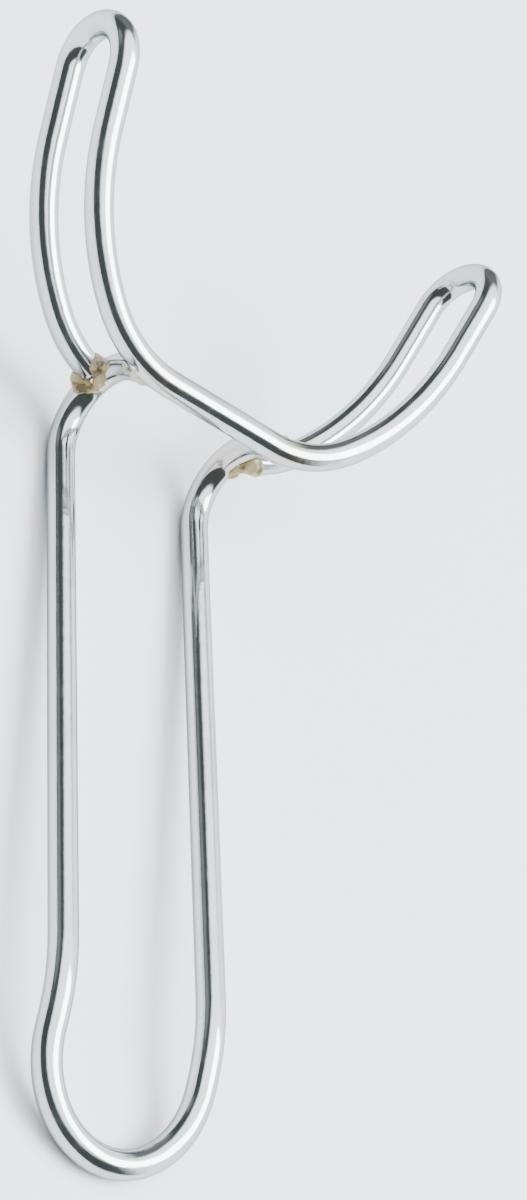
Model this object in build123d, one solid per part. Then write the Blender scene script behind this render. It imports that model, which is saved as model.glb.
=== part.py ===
from build123d import *
import os
from math import acos, asin, atan2, cos, degrees, hypot, radians, sin, tan

# Wire cradle on a loop handle, bent from two lengths of plated steel wire and brazed together.
# Tool frame: X across the handle, Y along it towards the ears, Z up from the plane of the legs.
# The tool frame's origin lies midway between the legs, level with the cradle's front rail.
# The finished tool lies on its back, so the last step tilts it and sets it on Z = 0.

# Driving dimensions, millimetres and degrees
wire_diameter = 4.0

leg_spacing = 26.0          # between the centres of the two legs
leg_length = 81.7           # from the loop's crease to the start of the foot bend
loop_crease_angle = 20.6    # how far the loop leans back from the legs
loop_crease_radius = 32.0
loop_neck = 6.8             # from the crease to the start of the round end
foot_setback = 3.2          # from the start of the foot bend up to the front rail
foot_straight = 5.2         # from the end of the foot bend to the centre of the front rail

cradle_height = 18.7        # centre of the front rail above the centres of the legs
rail_spacing = 12.2         # between the centres of the front and back rails
ear_lean = 34.2             # how far the ears rise out of the plane of the legs
bend_inside_leg = 3.1       # how far inside each leg the base starts to turn up
base_bend_radius = 20.0
base_bend_angle = 43.0
ear_bend_radius = 38.0
ear_bend_angle = 36.1
ear_straight = 9.9          # straight end of the back rail, before the round tip

end_gap = 0.6               # from a wire's butt end to the centre of the wire that it is coped to
back_braze_height = 1.5     # how proud the bead stands round a back rail's end
front_braze_height = 0.8    # how proud the bead stands round a foot's end

wire_radius = wire_diameter / 2
leg_x = leg_spacing / 2
base_half_length = leg_x - bend_inside_leg

ear_rise = Vector(0, cos(radians(ear_lean)), sin(radians(ear_lean)))
front_rail_middle = Vector(0, 0, cradle_height)
foot_station = degrees(asin(bend_inside_leg / base_bend_radius))    # where the base bend crosses a leg


def rail_point(side, turned, first_bend=0.0, run=0.0):
    """A point on the front rail and its outward direction.

    The rail leaves the base through base_bend_radius for first_bend degrees, then through
    ear_bend_radius for the rest of turned, and ends with a straight run.
    """
    a, b = radians(first_bend), radians(turned)
    x = base_half_length + base_bend_radius * sin(a) + ear_bend_radius * (sin(b) - sin(a)) + run * cos(b)
    rise = base_bend_radius * (1 - cos(a)) + ear_bend_radius * (cos(a) - cos(b)) + run * sin(b)
    point = front_rail_middle + Vector(side * x, 0, 0) + ear_rise * rise
    return point, Vector(side * cos(b), 0, 0) + ear_rise * sin(b)


def rail_over_leg(side):
    """The point of the front rail that a foot runs to, and the rail's direction there."""
    return rail_point(side, foot_station, foot_station)


def foot_bend():
    """Centre, radius and angle of a foot's bend, which ends aimed at the front rail.

    The centre is given as its distances along Y and Z.
    """
    target = rail_over_leg(1)[0]
    along = target.Y + foot_setback
    radius = (along**2 + target.Z**2 - foot_straight**2) / (2 * target.Z)
    aim = atan2(target.Z - radius, along) - atan2(foot_straight, radius)
    return -foot_setback, radius, degrees(aim) + 90


def to_back_rail():
    """Step from the front rail to the back one, which lands on the centre of the foot's bend."""
    target = rail_over_leg(1)[0]
    centre_y, radius, _ = foot_bend()
    away = Vector(0, target.Y - centre_y, target.Z - radius)
    apart = acos((radius**2 + away.length**2 - rail_spacing**2) / (2 * radius * away.length))
    round_bend = atan2(away.Z, away.Y) - apart
    landing = Vector(0, centre_y + radius * cos(round_bend), radius + radius * sin(round_bend))
    return landing - Vector(0, target.Y, target.Z)


def ear_edges(side):
    """One ear's centreline, from the middle of the front base, round the tip, to the back rail's end."""
    full_turn = base_bend_angle + ear_bend_angle
    back = to_back_rail()
    base_end, base_way = rail_point(side, 0)
    first_end, first_way = rail_point(side, base_bend_angle, base_bend_angle)
    second_end, way = rail_point(side, full_turn, base_bend_angle)
    back_tip = rail_point(side, full_turn, base_bend_angle, ear_straight)[0] + back
    # The round tip is square to the rails, so the leaning back rail makes the front one shorter.
    front_tip = rail_point(side, full_turn, base_bend_angle, ear_straight + back.dot(way))[0]
    butt_turn = foot_station + degrees(end_gap / base_bend_radius)
    butt_end = rail_point(side, butt_turn, butt_turn)[0] + back
    return [
        Line(front_rail_middle, base_end),
        TangentArc(base_end, first_end, tangent=base_way),
        TangentArc(first_end, second_end, tangent=first_way),
        Line(second_end, front_tip),
        TangentArc(front_tip, back_tip, tangent=way),
        Line(back_tip, second_end + back),
        TangentArc(second_end + back, first_end + back, tangent=way * -1),
        TangentArc(first_end + back, butt_end, tangent=first_way * -1),
    ]


def foot_way():
    """Direction in which a foot reaches the front rail."""
    turn = radians(foot_bend()[2])
    return Vector(0, cos(turn), sin(turn))


def handle_side_edges(side):
    """One leg's centreline, from the end of its foot down to the start of the round loop end."""
    target = Vector(side * leg_x, rail_over_leg(side)[0].Y, rail_over_leg(side)[0].Z)
    bend_start = Vector(side * leg_x, -foot_setback, 0)
    bend_end = target - foot_way() * foot_straight
    crease = bend_start - Vector(0, leg_length, 0)
    cut_back = loop_crease_radius * tan(radians(loop_crease_angle / 2))
    crease_start = crease + Vector(0, cut_back, 0)
    crease_end = crease + loop_way() * cut_back
    return [
        Line(target - foot_way() * end_gap, bend_end),
        TangentArc(bend_end, bend_start, tangent=foot_way() * -1),
        Line(bend_start, crease_start),
        TangentArc(crease_start, crease_end, tangent=(0, -1, 0)),
        Line(crease_end, crease + loop_way() * loop_neck),
    ]


def loop_way():
    """Direction of the loop below the crease."""
    return Vector(0, -cos(radians(loop_crease_angle)), -sin(radians(loop_crease_angle)))


def wire_along(edges):
    """Round wire swept along a chain of edges that starts at the first edge's start."""
    path = Wire(edges)
    section = Plane(origin=path @ 0, z_dir=path % 0) * Circle(wire_radius)
    return sweep(section, path=path)


def make_cradle():
    """Both ears and the front base, as one wire whose back ends reach into the feet."""
    return wire_along(list(reversed(ear_edges(-1))) + ear_edges(1))


def make_front_rail():
    """The front base alone, which the feet are coped to fit."""
    left, right = ear_edges(-1)[:2], ear_edges(1)[:2]
    return wire_along(list(reversed(left)) + right)


def make_handle():
    """Feet, legs and round loop end, as one wire whose feet reach into the front rail."""
    left, right = handle_side_edges(-1), handle_side_edges(1)
    round_end = TangentArc(left[-1] @ 1, right[-1] @ 1, tangent=loop_way())
    return wire_along(left + [round_end] + list(reversed(right)))


def make_foot_bend(side):
    """The bend of one foot alone, which the back rail is coped to fit."""
    return wire_along(handle_side_edges(side)[1:2])


def braze_bead(butt, height):
    """Filler metal round a butt end: a ball with the wires cut out of it.

    The ball's centre lies on the other wire's surface, and the wires take its poles away.
    """
    centre, end_way, other_way = butt
    ball = Plane(origin=centre, x_dir=end_way.cross(other_way), z_dir=end_way) * Sphere(wire_radius + height)
    return ball - [make_handle(), make_cradle()]


def back_butt():
    """Where the left back rail meets the outer side of its foot: centre and the ways of both wires."""
    on_foot, rail_way = rail_over_leg(-1)[0] + to_back_rail(), rail_over_leg(-1)[1]
    centre_y, _, _ = foot_bend()
    foot_tangent = Vector(1, 0, 0).cross(on_foot - Vector(on_foot.X, centre_y, foot_bend()[1]))
    return on_foot + rail_way * wire_radius, rail_way, foot_tangent.normalized()


def front_butt():
    """Where the left foot meets the back of the front rail: centre and the ways of both wires."""
    on_rail, rail_way = rail_over_leg(-1)
    return on_rail - foot_way() * wire_radius, foot_way() * -1, rail_way


def rest_tilt():
    """Angle between the legs and a flat surface that the tool lies on, on its loop and foot bends."""
    drop = sin(radians(loop_crease_angle)) * (loop_neck + leg_x)
    back = leg_length + cos(radians(loop_crease_angle)) * (loop_neck + leg_x)
    radius = foot_bend()[1]
    up = radius + drop
    return degrees(atan2(up, back) - asin(radius / hypot(up, back)))


def make_parts():
    """Every sub-part in the tool frame, by name. The tool is the same on both sides of X = 0."""
    parts = {
        "handle_wire": make_handle() - make_front_rail(),
        "cradle_wire": make_cradle() - make_foot_bend(-1) - make_foot_bend(1),
    }
    for name, butt, height in (
        ("braze_back", back_butt(), back_braze_height),
        ("braze_front", front_butt(), front_braze_height),
    ):
        parts[name + "_left"] = braze_bead(butt, height)
        parts[name + "_right"] = mirror(parts[name + "_left"], about=Plane.YZ)
    return parts


def lay_down(parts):
    """Tilt the tool onto its back and centre its box over the origin, lowest point on Z = 0."""
    tilted = {name: Rot(X=-rest_tilt()) * part for name, part in parts.items()}
    box = Compound(list(tilted.values())).bounding_box()
    move = Pos(-box.center().X, -box.center().Y, -box.min.Z)
    return {name: move * part for name, part in tilted.items()}


os.makedirs("parts", exist_ok=True)
for part_name, part in lay_down(make_parts()).items():
    export_step(part, f"parts/{part_name}.step")
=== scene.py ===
from math import acos, asin, atan2, ceil, cos, hypot, pi, radians, sin, tan

import bmesh
import bpy
from bpy.props import FloatProperty, FloatVectorProperty, IntProperty, PointerProperty
from mathutils import Matrix, Vector, noise


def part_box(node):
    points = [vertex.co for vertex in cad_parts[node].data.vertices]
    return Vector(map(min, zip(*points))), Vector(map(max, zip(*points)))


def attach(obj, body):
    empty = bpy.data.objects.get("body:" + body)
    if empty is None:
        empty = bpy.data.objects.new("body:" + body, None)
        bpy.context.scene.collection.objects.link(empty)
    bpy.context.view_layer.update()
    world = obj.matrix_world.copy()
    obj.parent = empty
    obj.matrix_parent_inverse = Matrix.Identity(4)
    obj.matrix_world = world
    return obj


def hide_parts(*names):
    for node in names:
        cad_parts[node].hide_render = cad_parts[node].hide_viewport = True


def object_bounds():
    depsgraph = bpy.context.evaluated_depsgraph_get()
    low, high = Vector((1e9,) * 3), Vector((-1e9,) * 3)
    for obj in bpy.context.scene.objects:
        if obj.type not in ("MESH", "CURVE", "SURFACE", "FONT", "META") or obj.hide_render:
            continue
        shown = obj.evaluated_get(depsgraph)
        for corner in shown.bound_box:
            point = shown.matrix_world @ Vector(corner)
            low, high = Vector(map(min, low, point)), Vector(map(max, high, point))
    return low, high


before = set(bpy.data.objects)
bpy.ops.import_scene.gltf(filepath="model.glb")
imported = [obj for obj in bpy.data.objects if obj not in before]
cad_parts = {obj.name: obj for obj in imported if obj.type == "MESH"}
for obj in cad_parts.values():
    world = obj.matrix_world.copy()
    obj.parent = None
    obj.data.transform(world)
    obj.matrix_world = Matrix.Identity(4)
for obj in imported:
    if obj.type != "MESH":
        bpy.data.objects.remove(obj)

bl_info = {
    "name": "Wire Cradle Tool",
    "version": (1, 0, 0),
    "blender": (4, 5, 0),
    "location": "3D View > Sidebar > Wire Cradle",
    "description": "Plated wire cradle on a loop handle, with its brazed joints, on a pale studio floor",
    "category": "Object",
}

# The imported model's box, taken before anything is added to the scene.
CAD_LOW, CAD_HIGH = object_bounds()

X = Vector((1, 0, 0))


def length(name, description, default):
    return FloatProperty(name=name, description=description, default=default, unit="LENGTH", precision=5)


def angle(name, description, degrees):
    return FloatProperty(name=name, description=description, default=radians(degrees), subtype="ANGLE")


def share(name, description, default):
    return FloatProperty(
        name=name, description=description, default=default, subtype="FACTOR", min=0, max=1
    )


def colour(name, description, default):
    return FloatVectorProperty(
        name=name, description=description, default=default, subtype="COLOR", size=3
    )


def count(name, description, default):
    return IntProperty(name=name, description=description, default=default, min=1)


class WireSizes(bpy.types.PropertyGroup):
    """Sizes that both wires are bent to."""

    diameter: length("Wire diameter", "Diameter of the plated wire", 0.004)
    leg_spacing: length("Leg spacing", "Between the centres of the two legs", 0.026)
    leg_length: length("Leg length", "From the loop's crease to the start of the foot bend", 0.0817)
    crease_angle: angle("Crease angle", "How far the loop leans back from the legs", 20.6)
    crease_radius: length("Crease radius", "Radius of the crease", 0.032)
    neck: length("Loop neck", "From the crease to the start of the round end", 0.0068)
    foot_setback: length("Foot setback", "From the start of the foot bend up to the front rail", 0.0032)
    foot_straight: length("Foot straight", "From the foot bend to the centre of the front rail", 0.0052)
    cradle_height: length("Cradle height", "Front rail above the plane of the legs", 0.0187)
    rail_spacing: length("Rail spacing", "Between the centres of the front and back rails", 0.0122)
    ear_lean: angle("Ear lean", "How far the ears rise out of the plane of the legs", 34.2)
    bend_inside_leg: length("Bend inside leg", "How far inside each leg the base turns up", 0.0031)
    base_radius: length("Base bend radius", "Radius of the bend beside the base", 0.020)
    base_angle: angle("Base bend angle", "Angle of the bend beside the base", 43.0)
    ear_radius: length("Ear bend radius", "Radius of the ear's long bend", 0.038)
    ear_angle: angle("Ear bend angle", "Angle of the ear's long bend", 36.1)
    ear_straight: length("Ear straight", "Straight end of the back rail, before the round tip", 0.0099)
    ring_faces: count("Faces round the wire", "Faces in each ring of the wire", 64)
    ring_step: length("Ring step", "Between two rings of faces along the wire", 0.0006)
    end_bevel: length("End bevel", "Rounding of a sheared end", 0.00025)


class PlatingLook(bpy.types.PropertyGroup):
    """Finish of the plated wires."""

    plating: colour("Plating", "Bright nickel and chrome plate", (0.53, 0.55, 0.56))
    cloud: colour("Clouding", "Where the plate is a little thinner and warmer", (0.48, 0.50, 0.49))
    # Set low so the wires' rims go dark: partly the plate's real dip at grazing angles, partly painted
    # shade for dark surroundings reflected at the rims.
    edge: colour("Edge", "Reflection at a grazing angle, as a share of the plate's own", (0.48, 0.50, 0.51))
    heat_tint: colour("Heat tint", "Straw colour left by the brazing", (0.50, 0.42, 0.27))
    tint_reach: length("Tint reach", "How far the heat tint spreads from a joint", 0.0055)
    roughness: share("Roughness", "Roughness of the clean plate", 0.11)
    worn_roughness: share("Worn roughness", "Roughness where handling has dulled the plate", 0.20)
    ripple: length("Ripple", "Height of the drawn wire's faint ripple under the plate", 0.00003)


class BrazeLook(bpy.types.PropertyGroup):
    """Shape and finish of the filler metal at the joints."""

    filler: colour("Filler", "Satin brass filler", (0.37, 0.295, 0.125))
    pale: colour("Pale filler", "Filler with plate over it", (0.52, 0.505, 0.42))
    copper: colour("Copper", "Copper-coloured patches", (0.40, 0.24, 0.15))
    # Dark olive-brown laid into the filler's hollows: partly real scale, partly painted shade in the
    # crevices.
    scale: colour("Scale", "Olive-brown scale in the hollows", (0.085, 0.065, 0.028))
    sink: length("Sink", "How far the filler's thin edge sinks below the wires' surface", 0.00012)
    lumps: length("Lumps", "Height of the filler's unevenness", 0.00010)
    edge_voxel: length("Edge voxel", "Grain of the finished filler, and of its thin edges", 0.00008)
    smoothing: count("Smoothing", "Rounds of smoothing that make the fillets", 34)
    brass_reach: length("Brass reach", "How far from a back joint the filler is bare brass", 0.0049)
    voxel: length("Voxel", "Grain of the mesh that the drops are fused into", 0.00014)


class StageLook(bpy.types.PropertyGroup):
    """Camera, floor and lights."""

    azimuth: angle("Azimuth", "Camera's turn about the vertical from the front", -48.13)
    elevation: angle("Elevation", "Camera's height above the horizon", 36.26)
    roll: angle("Roll", "Camera's turn about its own axis", 62.62)
    distance: length("Distance", "Camera to the plane through the middle of the tool", 0.4185)
    offset_right: length("Offset right", "Aim point to the right of the middle of the tool", 0.00626)
    offset_up: length("Offset up", "Aim point above the middle of the tool, in the picture", 0.00240)
    focal_length: FloatProperty(name="Focal length", description="Lens, in millimetres", default=94.4)
    floor_colour: colour("Floor colour", "Pale floor", (0.88, 0.885, 0.89))
    wall: colour("Wall", "Dark studio walls, up to where the ceiling starts", (0.125, 0.14, 0.145))
    ceiling: colour("Ceiling", "Bright studio ceiling", (3.9, 4.1, 4.4))
    backdrop: colour("Backdrop", "What the camera sees past the floor's edge", (3.4, 3.4, 3.4))
    ceiling_start: angle("Ceiling start", "Height above the horizon where the walls end", 38)
    ceiling_full: angle("Ceiling full", "Height where the ceiling is at its brightest", 52)
    softbox_power: FloatProperty(name="Softbox", description="Power of the softbox, in watts", default=50)
    softbox_size: length("Softbox size", "Side of the square softbox", 1.1)
    softbox_distance: length("Softbox distance", "From the tool to the softbox", 1.7)
    softbox_azimuth: angle("Softbox azimuth", "Softbox direction, turned from +Y towards +X", 98)
    softbox_elevation: angle("Softbox elevation", "Softbox height above the horizon", 62)


def cradle_shape(wire):
    """Places and directions that both wires share, in the tool's own axes.

    Y runs along the handle towards the ears, and Z up from the plane of the legs.
    """
    leg_x = wire.leg_spacing / 2
    base_half = leg_x - wire.bend_inside_leg
    ear_rise = Vector((0, cos(wire.ear_lean), sin(wire.ear_lean)))
    front_middle = Vector((0, 0, wire.cradle_height))
    station = asin(wire.bend_inside_leg / wire.base_radius)
    over_leg = front_middle + X * leg_x + ear_rise * wire.base_radius * (1 - cos(station))

    along = over_leg.y + wire.foot_setback
    foot_radius = (along**2 + over_leg.z**2 - wire.foot_straight**2) / (2 * over_leg.z)
    aim = atan2(over_leg.z - foot_radius, along) - atan2(wire.foot_straight, foot_radius)
    foot_angle = aim + pi / 2
    foot_centre = Vector((0, -wire.foot_setback, foot_radius))

    away = Vector((0, over_leg.y, over_leg.z)) - foot_centre
    squares = foot_radius**2 + away.length_squared - wire.rail_spacing**2
    apart = acos(squares / (2 * foot_radius * away.length))
    round_bend = atan2(away.z, away.y) - apart
    landing = foot_centre + foot_radius * Vector((0, cos(round_bend), sin(round_bend)))
    to_back = landing - Vector((0, over_leg.y, over_leg.z))
    return {
        "leg_x": leg_x,
        "base_half": base_half,
        "ear_rise": ear_rise,
        "front_middle": front_middle,
        "station": station,
        "over_leg": over_leg,
        "foot_radius": foot_radius,
        "foot_angle": foot_angle,
        "foot_centre": foot_centre,
        "to_back": to_back,
    }


class Bender:
    """Grows a round wire by pushing it straight and turning it round bends."""

    def __init__(self, wire, start, way, extra=0.0):
        self.step = wire.ring_step
        self.bm = bmesh.new()
        self.at, self.way = start.copy(), way.normalized()
        place = Matrix.Translation(start) @ self.way.to_track_quat("Z", "Y").to_matrix().to_4x4()
        ring = bmesh.ops.create_circle(
            self.bm, segments=wire.ring_faces, radius=wire.diameter / 2 + extra, matrix=place
        )
        self.ring = set(ring["verts"])

    def ring_edges(self):
        return [e for e in self.bm.edges if e.verts[0] in self.ring and e.verts[1] in self.ring]

    def straight(self, run):
        rings = max(1, ceil(run / (4 * self.step)))
        for _ in range(rings):
            grown = bmesh.ops.extrude_edge_only(self.bm, edges=self.ring_edges())["geom"]
            self.ring = {v for v in grown if isinstance(v, bmesh.types.BMVert)}
            bmesh.ops.translate(self.bm, verts=list(self.ring), vec=self.way * (run / rings))
        self.at += self.way * run

    def bend(self, axis, bend_radius, turn):
        axis = axis.normalized()
        centre = self.at + axis.cross(self.way) * bend_radius
        steps = max(4, ceil(bend_radius * turn / self.step))
        geom = list(self.ring) + self.ring_edges()
        spun = bmesh.ops.spin(
            self.bm, geom=geom, cent=centre, axis=axis, angle=turn, steps=steps
        )
        self.ring = {v for v in spun["geom_last"] if isinstance(v, bmesh.types.BMVert)}
        rotation = Matrix.Rotation(turn, 3, axis)
        self.at = centre + rotation @ (self.at - centre)
        self.way = rotation @ self.way

    def sheared_end(self, bevel):
        edges = self.ring_edges()
        bmesh.ops.contextual_create(self.bm, geom=edges)
        bmesh.ops.bevel(
            self.bm, geom=edges, offset=bevel, segments=3, profile=0.5, affect="EDGES", material=-1
        )

    def closed(self):
        """Caps both ends and points every face outwards."""
        bmesh.ops.holes_fill(self.bm, edges=[e for e in self.bm.edges if e.is_boundary], sides=0)
        bmesh.ops.recalc_face_normals(self.bm, faces=list(self.bm.faces))
        return self.bm

    def mirrored(self):
        """Adds the other half across X = 0, welds it to this one and points every face outwards."""
        geom = list(self.bm.verts) + list(self.bm.edges) + list(self.bm.faces)
        weld = self.step / 100
        bmesh.ops.mirror(self.bm, geom=geom, matrix=Matrix.Identity(4), merge_dist=weld, axis="X")
        bmesh.ops.remove_doubles(self.bm, verts=list(self.bm.verts), dist=weld)
        bmesh.ops.recalc_face_normals(self.bm, faces=list(self.bm.faces))
        return self.bm


def bend_handle(wire):
    """The handle, bent from the middle of its loop end up to the right foot, then mirrored."""
    shape = cradle_shape(wire)
    leg_x = shape["leg_x"]
    loop_way = Vector((0, -cos(wire.crease_angle), -sin(wire.crease_angle)))
    cut_back = wire.crease_radius * tan(wire.crease_angle / 2)
    crease = Vector((0, -wire.foot_setback - wire.leg_length, 0))
    tool = Bender(wire, crease + loop_way * (wire.neck + leg_x), X)
    tool.bend(X.cross(-loop_way), leg_x, pi / 2)
    tool.straight(wire.neck - cut_back)
    tool.bend(-X, wire.crease_radius, wire.crease_angle)
    tool.straight(wire.leg_length - cut_back)
    tool.bend(X, shape["foot_radius"], shape["foot_angle"])
    tool.straight(wire.foot_straight - wire.diameter / 2)
    tool.sheared_end(wire.end_bevel)
    return tool.mirrored()


def bend_cradle(wire):
    """The cradle, bent from the middle of its base, round the right ear and back, then mirrored."""
    shape = cradle_shape(wire)
    ear_axis = X.cross(shape["ear_rise"])
    tool = Bender(wire, shape["front_middle"], X)
    tool.straight(shape["base_half"])
    tool.bend(ear_axis, wire.base_radius, wire.base_angle)
    tool.bend(ear_axis, wire.ear_radius, wire.ear_angle)
    rise_of_back = shape["to_back"].dot(tool.way)
    tool.straight(wire.ear_straight + rise_of_back)
    across = shape["to_back"] - tool.way * rise_of_back
    tool.bend(tool.way.cross(across), across.length / 2, pi)
    tool.straight(wire.ear_straight)
    tool.bend(-ear_axis, wire.ear_radius, wire.ear_angle)
    butt_turn = shape["station"] + wire.diameter / 2 / wire.base_radius
    tool.bend(-ear_axis, wire.base_radius, wire.base_angle - butt_turn)
    tool.sheared_end(wire.end_bevel)
    return tool.mirrored()


def rest_tilt(wire):
    """Angle between the legs and the floor that the tool lies on, on its loop and foot bends."""
    shape = cradle_shape(wire)
    reach = wire.neck + shape["leg_x"]
    up = shape["foot_radius"] + sin(wire.crease_angle) * reach
    back = wire.leg_length + cos(wire.crease_angle) * reach
    return atan2(up, back) - asin(shape["foot_radius"] / hypot(up, back))


def tool_place(wire):
    """Matrix from the tool's own axes to its place on the floor, taken from the handle's box."""
    tilt = Matrix.Rotation(-rest_tilt(wire), 4, "X")
    shape = cradle_shape(wire)
    loop_way = Vector((0, -cos(wire.crease_angle), -sin(wire.crease_angle)))
    crease = Vector((0, -wire.foot_setback - wire.leg_length, 0))
    loop_end = tilt @ (crease + loop_way * (wire.neck + shape["leg_x"]))
    low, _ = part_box("handle_wire")
    radius = wire.diameter / 2
    return Matrix.Translation((0, low[1] + radius - loop_end.y, low[2] + radius - loop_end.z)) @ tilt


def new_piece(name, bm, material):
    """Makes a smooth-shaded object at the origin from a bmesh in its final place."""
    mesh = bpy.data.meshes.new(name)
    bm.to_mesh(mesh)
    bm.free()
    if material:
        mesh.materials.append(material)
    mesh.shade_smooth()
    piece = bpy.data.objects.new(name, mesh)
    bpy.context.scene.collection.objects.link(piece)
    return piece


class Nodes:
    """Short way to add and link a material's or a world's nodes."""

    def __init__(self, tree):
        self.new, self.link = tree.nodes.new, tree.links.new

    def noise(self, place, scale, detail=3, stretch=(1, 1, 1)):
        mapping = self.new("ShaderNodeMapping")
        mapping.inputs["Scale"].default_value = stretch
        self.link(place, mapping.inputs["Vector"])
        node = self.new("ShaderNodeTexNoise")
        node.inputs["Scale"].default_value = scale
        node.inputs["Detail"].default_value = detail
        self.link(mapping.outputs["Vector"], node.inputs["Vector"])
        return node.outputs["Fac"]

    def spread(self, value, low, high, to_low=0.0, to_high=1.0):
        """Smooth step of a value from one range to another."""
        node = self.new("ShaderNodeMapRange")
        node.interpolation_type = "SMOOTHSTEP"
        node.inputs["From Min"].default_value = low
        node.inputs["From Max"].default_value = high
        node.inputs["To Min"].default_value = to_low
        node.inputs["To Max"].default_value = to_high
        self.link(value, node.inputs["Value"])
        return node.outputs["Result"]

    def math(self, operation, first, second):
        node = self.new("ShaderNodeMath")
        node.operation = operation
        for socket, value in zip(node.inputs, (first, second)):
            if isinstance(value, (int, float)):
                socket.default_value = value
            else:
                self.link(value, socket)
        return node.outputs["Value"]

    def distance(self, place, point):
        node = self.new("ShaderNodeVectorMath")
        node.operation = "DISTANCE"
        self.link(place, node.inputs[0])
        node.inputs[1].default_value = point
        return node.outputs["Value"]

    def mix(self, share_of_second, first, second):
        node = self.new("ShaderNodeMix")
        node.data_type = "RGBA"
        self.link(share_of_second, node.inputs["Factor"])
        for socket, value in ((node.inputs["A"], first), (node.inputs["B"], second)):
            if isinstance(value, bpy.types.NodeSocket):
                self.link(value, socket)
            else:
                socket.default_value = (*value, 1)
        return node.outputs["Result"]

    def bump(self, height, distance, strength=1.0):
        node = self.new("ShaderNodeBump")
        node.inputs["Strength"].default_value = strength
        node.inputs["Distance"].default_value = distance
        self.link(height, node.inputs["Height"])
        return node.outputs["Normal"]


def new_material(name):
    material = bpy.data.materials.new(name)
    material.use_nodes = True
    nodes = Nodes(material.node_tree)
    place = nodes.new("ShaderNodeTexCoord").outputs["Object"]
    return material, nodes, place, material.node_tree.nodes["Principled BSDF"]


def plated_material(look, joints):
    """Bright plate over drawn wire: faint clouding, dulled patches, heat tint beside the joints, and rims
    darkened at grazing angles, partly real and partly painted shade.
    """
    material, nodes, place, shader = new_material("plated_wire")
    clouds = nodes.spread(nodes.noise(place, 90, 4), 0.45, 0.70)
    colour_of_plate = nodes.mix(clouds, look.plating, look.cloud)
    nearest = nodes.distance(place, joints[0])
    for joint in joints[1:]:
        nearest = nodes.math("MINIMUM", nearest, nodes.distance(place, joint))
    uneven = nodes.math("MULTIPLY", nodes.noise(place, 700, 3), look.tint_reach * 0.6)
    reached = nodes.math("ADD", nearest, uneven)
    tint = nodes.spread(reached, look.tint_reach * 0.75, look.tint_reach * 1.3, 0.3, 0)
    nodes.link(nodes.mix(tint, colour_of_plate, look.heat_tint), shader.inputs["Base Color"])
    worn = nodes.spread(nodes.noise(place, 260, 5), 0.5, 0.72, look.roughness, look.worn_roughness)
    nodes.link(worn, shader.inputs["Roughness"])
    nodes.link(nodes.bump(nodes.noise(place, 420, 2), look.ripple), shader.inputs["Normal"])
    shader.inputs["Metallic"].default_value = 1
    # Painted shade on the rims, partly real: a deep grazing-angle dip darkens the wires' edges.
    shader.inputs["Specular Tint"].default_value = (*look.edge, 1)
    return material


def braze_material(look, back_joints):
    """Satin filler: bare brass near the back joints, plated over elsewhere, with copper, and dark scale
    laid into the hollows, partly real scale and partly painted shade.
    """
    material, nodes, place, shader = new_material("braze_filler")
    nearest = nodes.math("MINIMUM", *(nodes.distance(place, joint) for joint in back_joints))
    uneven = nodes.math("MULTIPLY", nodes.noise(place, 480, 3), look.brass_reach * 0.8)
    reached = nodes.math("ADD", nearest, uneven)
    bare = nodes.spread(reached, look.brass_reach * 1.1, look.brass_reach * 1.6, 1, 0)
    base = nodes.mix(bare, look.pale, look.filler)
    base = nodes.mix(nodes.spread(nodes.noise(place, 430, 2), 0.60, 0.74), base, look.pale)
    copper_patches = nodes.spread(nodes.noise(place, 560, 2, (1, 1.4, 0.8)), 0.60, 0.74, 0, 0.8)
    base = nodes.mix(copper_patches, base, look.copper)
    # Painted shade, partly real scale: concave places, found by pointiness with some noise, take the dark
    # scale colour.
    hollows = nodes.new("ShaderNodeNewGeometry").outputs["Pointiness"]
    scale_and_shade_pointiness = nodes.math("SUBTRACT", hollows, nodes.math("MULTIPLY", nodes.noise(place, 620, 4), 0.3))
    base = nodes.mix(nodes.spread(scale_and_shade_pointiness, 0.315, 0.36, 0.9, 0), base, look.scale)
    nodes.link(base, shader.inputs["Base Color"])
    rough = nodes.spread(nodes.noise(place, 900, 3), 0.3, 0.7, 0.34, 0.52)
    nodes.link(rough, shader.inputs["Roughness"])
    nodes.link(nodes.bump(nodes.noise(place, 1500, 3), 0.00006, 0.5), shader.inputs["Normal"])
    nodes.link(nodes.spread(bare, 0, 1, 0.95, 0.35), shader.inputs["Metallic"])
    return material


def joint_axes(origin, out, second, third):
    """Matrix from a joint's own axes to the tool's."""
    return Matrix.Translation(origin) @ Matrix((out, second, third)).transposed().to_4x4()


def back_joint(shape, side):
    """Axes of a back joint: outwards along the rail, up along the foot, and away from the foot's bend."""
    centre = shape["over_leg"] + shape["to_back"]
    away = (Vector((0, centre.y, centre.z)) - shape["foot_centre"]).normalized()
    return joint_axes(Vector((side * centre.x, centre.y, centre.z)), X * side, X.cross(away), away)


def front_joint(shape, side):
    """Axes of a front joint: outwards, back along the foot, and towards the inside of its bend."""
    centre = shape["over_leg"]
    origin = Vector((side * centre.x, centre.y, centre.z))
    down_foot = -Vector((0, cos(shape["foot_angle"]), sin(shape["foot_angle"])))
    return joint_axes(origin, X * side, down_foot, X.cross(down_foot))


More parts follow.
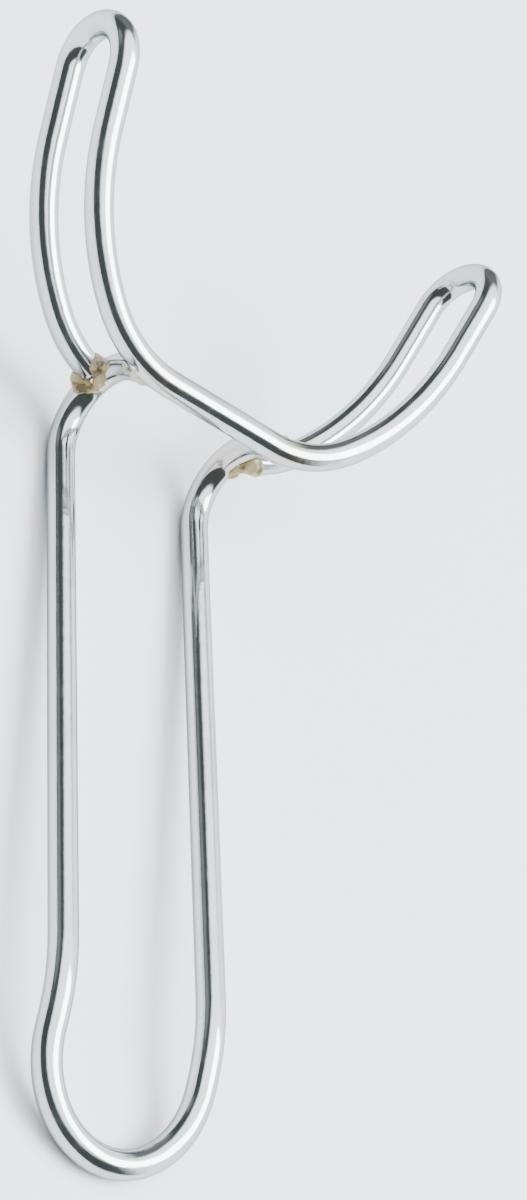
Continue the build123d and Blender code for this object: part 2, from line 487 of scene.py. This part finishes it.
# Drops of filler at each joint, in millimetres along the joint's axes: where each lies, and its radius.
UNDER_RAIL_DROPS = (
    ((1.9, -1.5, 0.9), 1.3),
    ((2.0, 1.5, 0.9), 1.3),
)
BACK_LEFT_DROPS = UNDER_RAIL_DROPS + (
    ((1.8, -1.8, -0.4), 1.55),
    ((1.1, -2.5, -0.7), 1.3),
    ((0.8, -1.4, -1.0), 1.25),
    ((2.8, -1.5, -0.5), 1.2),
    ((0.1, -0.6, -1.0), 1.15),
    ((0.6, 0.6, -1.05), 1.2),
    ((0.8, 2.1, -1.1), 1.15),
    ((2.1, 1.8, -0.4), 1.45),
    ((1.3, 3.3, -0.9), 1.15),
)
BACK_RIGHT_DROPS = UNDER_RAIL_DROPS + (
    ((1.7, -1.6, -0.5), 1.4),
    ((0.9, -0.9, -1.1), 1.25),
    ((1.5, 0.4, -1.1), 1.35),
    ((2.1, 1.5, -0.7), 1.55),
    ((3.2, 1.0, -0.85), 1.4),
    ((4.1, 0.9, -0.8), 1.3),
)
FRONT_FILLET_DROPS = (
    ((1.75, 2.2, 0.0), 1.0),
    ((-1.75, 2.2, 0.0), 0.95),
    ((1.2, 2.1, 1.1), 0.95),
    ((-1.2, 2.1, 1.1), 0.9),
    ((1.2, 2.2, -1.1), 1.0),
    ((-1.2, 2.1, -1.1), 0.9),
    ((0.0, 1.9, 1.5), 0.85),
    ((0.0, 1.9, -1.5), 0.9),
)
FRONT_LEFT_DROPS = FRONT_FILLET_DROPS + (
    ((1.4, 3.2, -0.7), 0.95),
    ((1.35, 4.4, -0.75), 0.95),
)
FRONT_RIGHT_DROPS = FRONT_FILLET_DROPS + (((0.9, 3.1, -1.1), 0.95),)


# How far round their bends the feet and rails are followed beside a joint, in radians,
# and how far inside the leg a front rail is picked up, in metres.
FOOT_STUB_TURN = 1.35
RAIL_STUB_TURN = 0.45
FRONT_RUN_IN = 0.004


def foot_stub(wire, shape, side, extra):
    """The part of a foot near its joints, thicker than the wire by extra all round."""
    bend_way = Vector((0, cos(shape["foot_angle"]), sin(shape["foot_angle"])))
    over = shape["over_leg"]
    start = Vector((side * over.x, over.y, over.z)) - bend_way * wire.diameter / 2
    stub = Bender(wire, start, -bend_way, extra)
    stub.straight(wire.foot_straight - wire.diameter / 2)
    stub.bend(-X, shape["foot_radius"], FOOT_STUB_TURN)
    return stub.closed()


def rail_stub(wire, shape, side, to_rail, run_in, extra):
    """The part of a rail beside a leg, from run_in inside the leg's centre, out past it."""
    middle = shape["station"] - run_in / wire.base_radius
    ear_axis = X.cross(shape["ear_rise"])
    start = shape["front_middle"] + to_rail + X * shape["base_half"]
    start += Matrix.Rotation(middle, 3, ear_axis) @ (-shape["ear_rise"] * wire.base_radius)
    start += shape["ear_rise"] * wire.base_radius
    stub = Bender(wire, start, Matrix.Rotation(middle, 3, ear_axis) @ X, extra)
    stub.bend(ear_axis, wire.base_radius, RAIL_STUB_TURN)
    bm = stub.closed()
    if side < 0:
        bmesh.ops.scale(bm, vec=(-1, 1, 1), verts=list(bm.verts))
        bmesh.ops.reverse_faces(bm, faces=list(bm.faces))
    return bm


def joined(parts):
    """Puts several bmeshes into one mesh."""
    mesh = bpy.data.meshes.new("joined")
    whole = bmesh.new()
    for part in parts:
        part.to_mesh(mesh)
        part.free()
        whole.from_mesh(mesh)
    bpy.data.meshes.remove(mesh)
    return whole


def with_modifier(bm, name, kind, **settings):
    """A bmesh after one modifier."""
    piece = new_piece(name, bm, None)
    modifier = piece.modifiers.new(name, kind)
    for key, value in settings.items():
        setattr(modifier, key, value)
    shaped = piece.evaluated_get(bpy.context.evaluated_depsgraph_get()).to_mesh()
    result = bmesh.new()
    result.from_mesh(shaped)
    piece.to_mesh_clear()
    mesh = piece.data
    bpy.data.objects.remove(piece)
    bpy.data.meshes.remove(mesh)
    return result


def smooth(bm, rounds):
    for _ in range(rounds):
        bmesh.ops.smooth_vert(
            bm, verts=list(bm.verts), factor=0.5, use_axis_x=True, use_axis_y=True, use_axis_z=True
        )


def largest_island(bm):
    """Removes all but the biggest connected part of a mesh."""
    left = set(bm.verts)
    islands = []
    while left:
        island = set()
        front = [left.pop()]
        while front:
            vert = front.pop()
            island.add(vert)
            for edge in vert.link_edges:
                other = edge.other_vert(vert)
                if other in left:
                    left.remove(other)
                    front.append(other)
        islands.append(island)
    biggest = max(islands, key=len)
    bmesh.ops.delete(bm, geom=[vert for vert in bm.verts if vert not in biggest], context="VERTS")
    return bm


# Least volume of a sound filler, in cubic metres. Less means that fusing or cutting it went wrong.
LEAST_FILLER = 2e-9


def filler(look, stubs, axes, drops):
    """Drops of filler fused round the wires, smoothed into fillets and left a little lumpy."""
    parts = stubs(-look.sink)
    for place, radius in drops:
        drop = bmesh.new()
        bmesh.ops.create_icosphere(drop, subdivisions=3, radius=radius / 1000)
        moved = axes @ Matrix.Translation(Vector(place) / 1000)
        bmesh.ops.transform(drop, matrix=moved, verts=list(drop.verts))
        parts.append(drop)
    bm = with_modifier(joined(parts), "fuse", "REMESH", mode="VOXEL", voxel_size=look.voxel)
    smooth(bm, look.smoothing)
    bm.normal_update()
    for vert in bm.verts:
        coarse = noise.noise(vert.co * 650)
        fine = noise.noise(vert.co * 1900 + Vector((5, 2, 9)))
        vert.co += vert.normal * look.lumps * (coarse + 0.35 * fine)
    for stub in stubs(0):
        cutter = new_piece("cutter", stub, None)
        bm = with_modifier(bm, "cut", "BOOLEAN", operation="DIFFERENCE", solver="MANIFOLD", object=cutter)
        mesh = cutter.data
        bpy.data.objects.remove(cutter)
        bpy.data.meshes.remove(mesh)
    bm = largest_island(with_modifier(bm, "close", "REMESH", mode="VOXEL", voxel_size=look.edge_voxel))
    smooth(bm, 1)
    if bm.calc_volume() < LEAST_FILLER:
        raise RuntimeError("The filler at a joint came out empty")
    return bm


def hand_over(piece, node):
    """Puts a piece under the root body and hides the CAD node that it replaces."""
    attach(piece, "root")
    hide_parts(node)


class WIRE_OT_wires(bpy.types.Operator):
    """Bend both plated wires"""

    bl_idname = "wire_cradle.wires"
    bl_label = "Bend wires"

    def execute(self, context):
        wire = context.scene.wire_sizes
        place = tool_place(wire)
        shape = cradle_shape(wire)
        joints = [
            place @ joint(shape, side).translation
            for joint in (back_joint, front_joint)
            for side in (-1, 1)
        ]
        material = plated_material(context.scene.plating_look, joints)
        for name, bend in (("handle_wire", bend_handle), ("cradle_wire", bend_cradle)):
            bm = bend(wire)
            bmesh.ops.transform(bm, matrix=place, verts=list(bm.verts))
            hand_over(new_piece(name + "_plated", bm, material), name)
        return {"FINISHED"}


class WIRE_OT_brazes(bpy.types.Operator):
    """Run filler metal into the four joints"""

    bl_idname = "wire_cradle.brazes"
    bl_label = "Braze joints"

    def execute(self, context):
        wire, look = context.scene.wire_sizes, context.scene.braze_look
        shape = cradle_shape(wire)
        place = tool_place(wire)
        material = braze_material(look, [place @ back_joint(shape, side).translation for side in (-1, 1)])
        wire_radius = wire.diameter / 2
        for name, side, joint, to_rail, run_in, drops in (
            ("braze_back_left", -1, back_joint, shape["to_back"], -wire_radius, BACK_LEFT_DROPS),
            ("braze_back_right", 1, back_joint, shape["to_back"], -wire_radius, BACK_RIGHT_DROPS),
            ("braze_front_left", -1, front_joint, Vector(), FRONT_RUN_IN, FRONT_LEFT_DROPS),
            ("braze_front_right", 1, front_joint, Vector(), FRONT_RUN_IN, FRONT_RIGHT_DROPS),
        ):
            def stubs(extra):
                return [
                    foot_stub(wire, shape, side, extra),
                    rail_stub(wire, shape, side, to_rail, run_in, extra),
                ]

            bm = filler(look, stubs, joint(shape, side), drops)
            bmesh.ops.transform(bm, matrix=place, verts=list(bm.verts))
            hand_over(new_piece(name + "_filler", bm, material), name)
        return {"FINISHED"}


def direction(azimuth, elevation):
    """Unit vector for an azimuth turned from +Y towards +X, and a height above the horizon."""
    return Vector((sin(azimuth) * cos(elevation), cos(azimuth) * cos(elevation), sin(elevation)))


# Half the side of the floor, in metres.
FLOOR_HALF = 3

# Paler places on the studio's walls, in degrees: where each is, and where its edge starts and ends.
WALL_PATCHES = (
    {"azimuth": -62, "elevation": 15, "inner": 6, "outer": 16, "light": (0.42, 0.45, 0.46)},
    {"azimuth": 8, "elevation": 15, "inner": 22, "outer": 34, "light": (0.30, 0.32, 0.33)},
    {"azimuth": 78, "elevation": 12, "inner": 34, "outer": 52, "light": (3.2, 3.35, 3.5)},
)


class WIRE_OT_stage(bpy.types.Operator):
    """Lay the floor, hang the lights and set up the camera"""

    bl_idname = "wire_cradle.stage"
    bl_label = "Set up stage"

    def execute(self, context):
        look = context.scene.stage_look
        self.lay_floor(look)
        self.place_camera(context.scene, look)
        self.light_room(context.scene, look)
        self.hang_softbox(context.scene, look)
        return {"FINISHED"}

    def light_room(self, scene, look):
        """A bright ceiling over dark walls that are paler in places, as a studio's are."""
        world = bpy.data.worlds.new("studio")
        scene.world = world
        world.use_nodes = True
        nodes = Nodes(world.node_tree)
        way = nodes.new("ShaderNodeTexCoord").outputs["Generated"]
        split = nodes.new("ShaderNodeSeparateXYZ")
        nodes.link(way, split.inputs["Vector"])
        light = look.wall
        for patch in WALL_PATCHES:
            towards = direction(radians(patch["azimuth"]), radians(patch["elevation"]))
            apart = nodes.distance(way, towards)
            inner, outer = (2 * sin(radians(patch[edge]) / 2) for edge in ("inner", "outer"))
            light = nodes.mix(nodes.spread(apart, inner, outer, 1, 0), light, patch["light"])
        up = nodes.spread(split.outputs["Z"], sin(look.ceiling_start), sin(look.ceiling_full))
        light = nodes.mix(up, light, look.ceiling)
        seen = nodes.new("ShaderNodeLightPath").outputs["Is Camera Ray"]
        light = nodes.mix(seen, light, look.backdrop)
        nodes.link(light, world.node_tree.nodes["Background"].inputs["Color"])

    def hang_softbox(self, scene, look):
        data = bpy.data.lights.new("softbox", "AREA")
        data.energy, data.size = look.softbox_power, look.softbox_size
        towards = direction(look.softbox_azimuth, look.softbox_elevation)
        lamp = bpy.data.objects.new("softbox", data)
        turned = towards.to_track_quat("Z", "Y").to_matrix().to_4x4()
        lamp.matrix_world = Matrix.Translation(towards * look.softbox_distance) @ turned
        scene.collection.objects.link(lamp)

    def lay_floor(self, look):
        bm = bmesh.new()
        bmesh.ops.create_grid(bm, x_segments=1, y_segments=1, size=FLOOR_HALF)
        material = bpy.data.materials.new("pale_floor")
        material.use_nodes = True
        shader = material.node_tree.nodes["Principled BSDF"]
        shader.inputs["Base Color"].default_value = (*look.floor_colour, 1)
        floor = new_piece("floor", bm, material)

    def place_camera(self, scene, look):
        back = Vector((
            sin(look.azimuth) * cos(look.elevation),
            -cos(look.azimuth) * cos(look.elevation),
            sin(look.elevation),
        ))
        level = Vector((cos(look.azimuth), sin(look.azimuth), 0))
        right = Matrix.Rotation(look.roll, 3, back) @ level
        up = back.cross(right)
        aim = (CAD_LOW + CAD_HIGH) / 2 + right * look.offset_right + up * look.offset_up
        data = bpy.data.cameras.new("camera")
        data.lens, data.sensor_width = look.focal_length, 36
        data.clip_start, data.clip_end = 0.01, 20
        camera = bpy.data.objects.new("camera", data)
        turned = Matrix((right, up, back)).transposed().to_4x4()
        camera.matrix_world = Matrix.Translation(aim + back * look.distance) @ turned
        scene.collection.objects.link(camera)
        scene.camera = camera


class WIRE_PT_panel(bpy.types.Panel):
    """Sizes, finishes and steps of the wire cradle"""

    bl_idname = "WIRE_PT_panel"
    bl_label = "Wire Cradle"
    bl_space_type = "VIEW_3D"
    bl_region_type = "UI"
    bl_category = "Wire Cradle"

    def draw(self, context):
        for group in GROUPS:
            box = self.layout.box()
            settings = getattr(context.scene, group)
            for name in settings.__annotations__:
                box.prop(settings, name)
        for operator in STEPS:
            self.layout.operator(operator.bl_idname)


GROUPS = {
    "wire_sizes": WireSizes,
    "plating_look": PlatingLook,
    "braze_look": BrazeLook,
    "stage_look": StageLook,
}
STEPS = (WIRE_OT_wires, WIRE_OT_brazes, WIRE_OT_stage)


def register():
    for cls in (*GROUPS.values(), *STEPS, WIRE_PT_panel):
        bpy.utils.register_class(cls)
    for name, group in GROUPS.items():
        setattr(bpy.types.Scene, name, PointerProperty(type=group))


def unregister():
    for name in GROUPS:
        delattr(bpy.types.Scene, name)
    for cls in (WIRE_PT_panel, *STEPS, *GROUPS.values()):
        bpy.utils.unregister_class(cls)


def main():
    register()
    bpy.ops.wire_cradle.wires()
    bpy.ops.wire_cradle.brazes()
    bpy.ops.wire_cradle.stage()


if __name__ == "__main__":
    main()
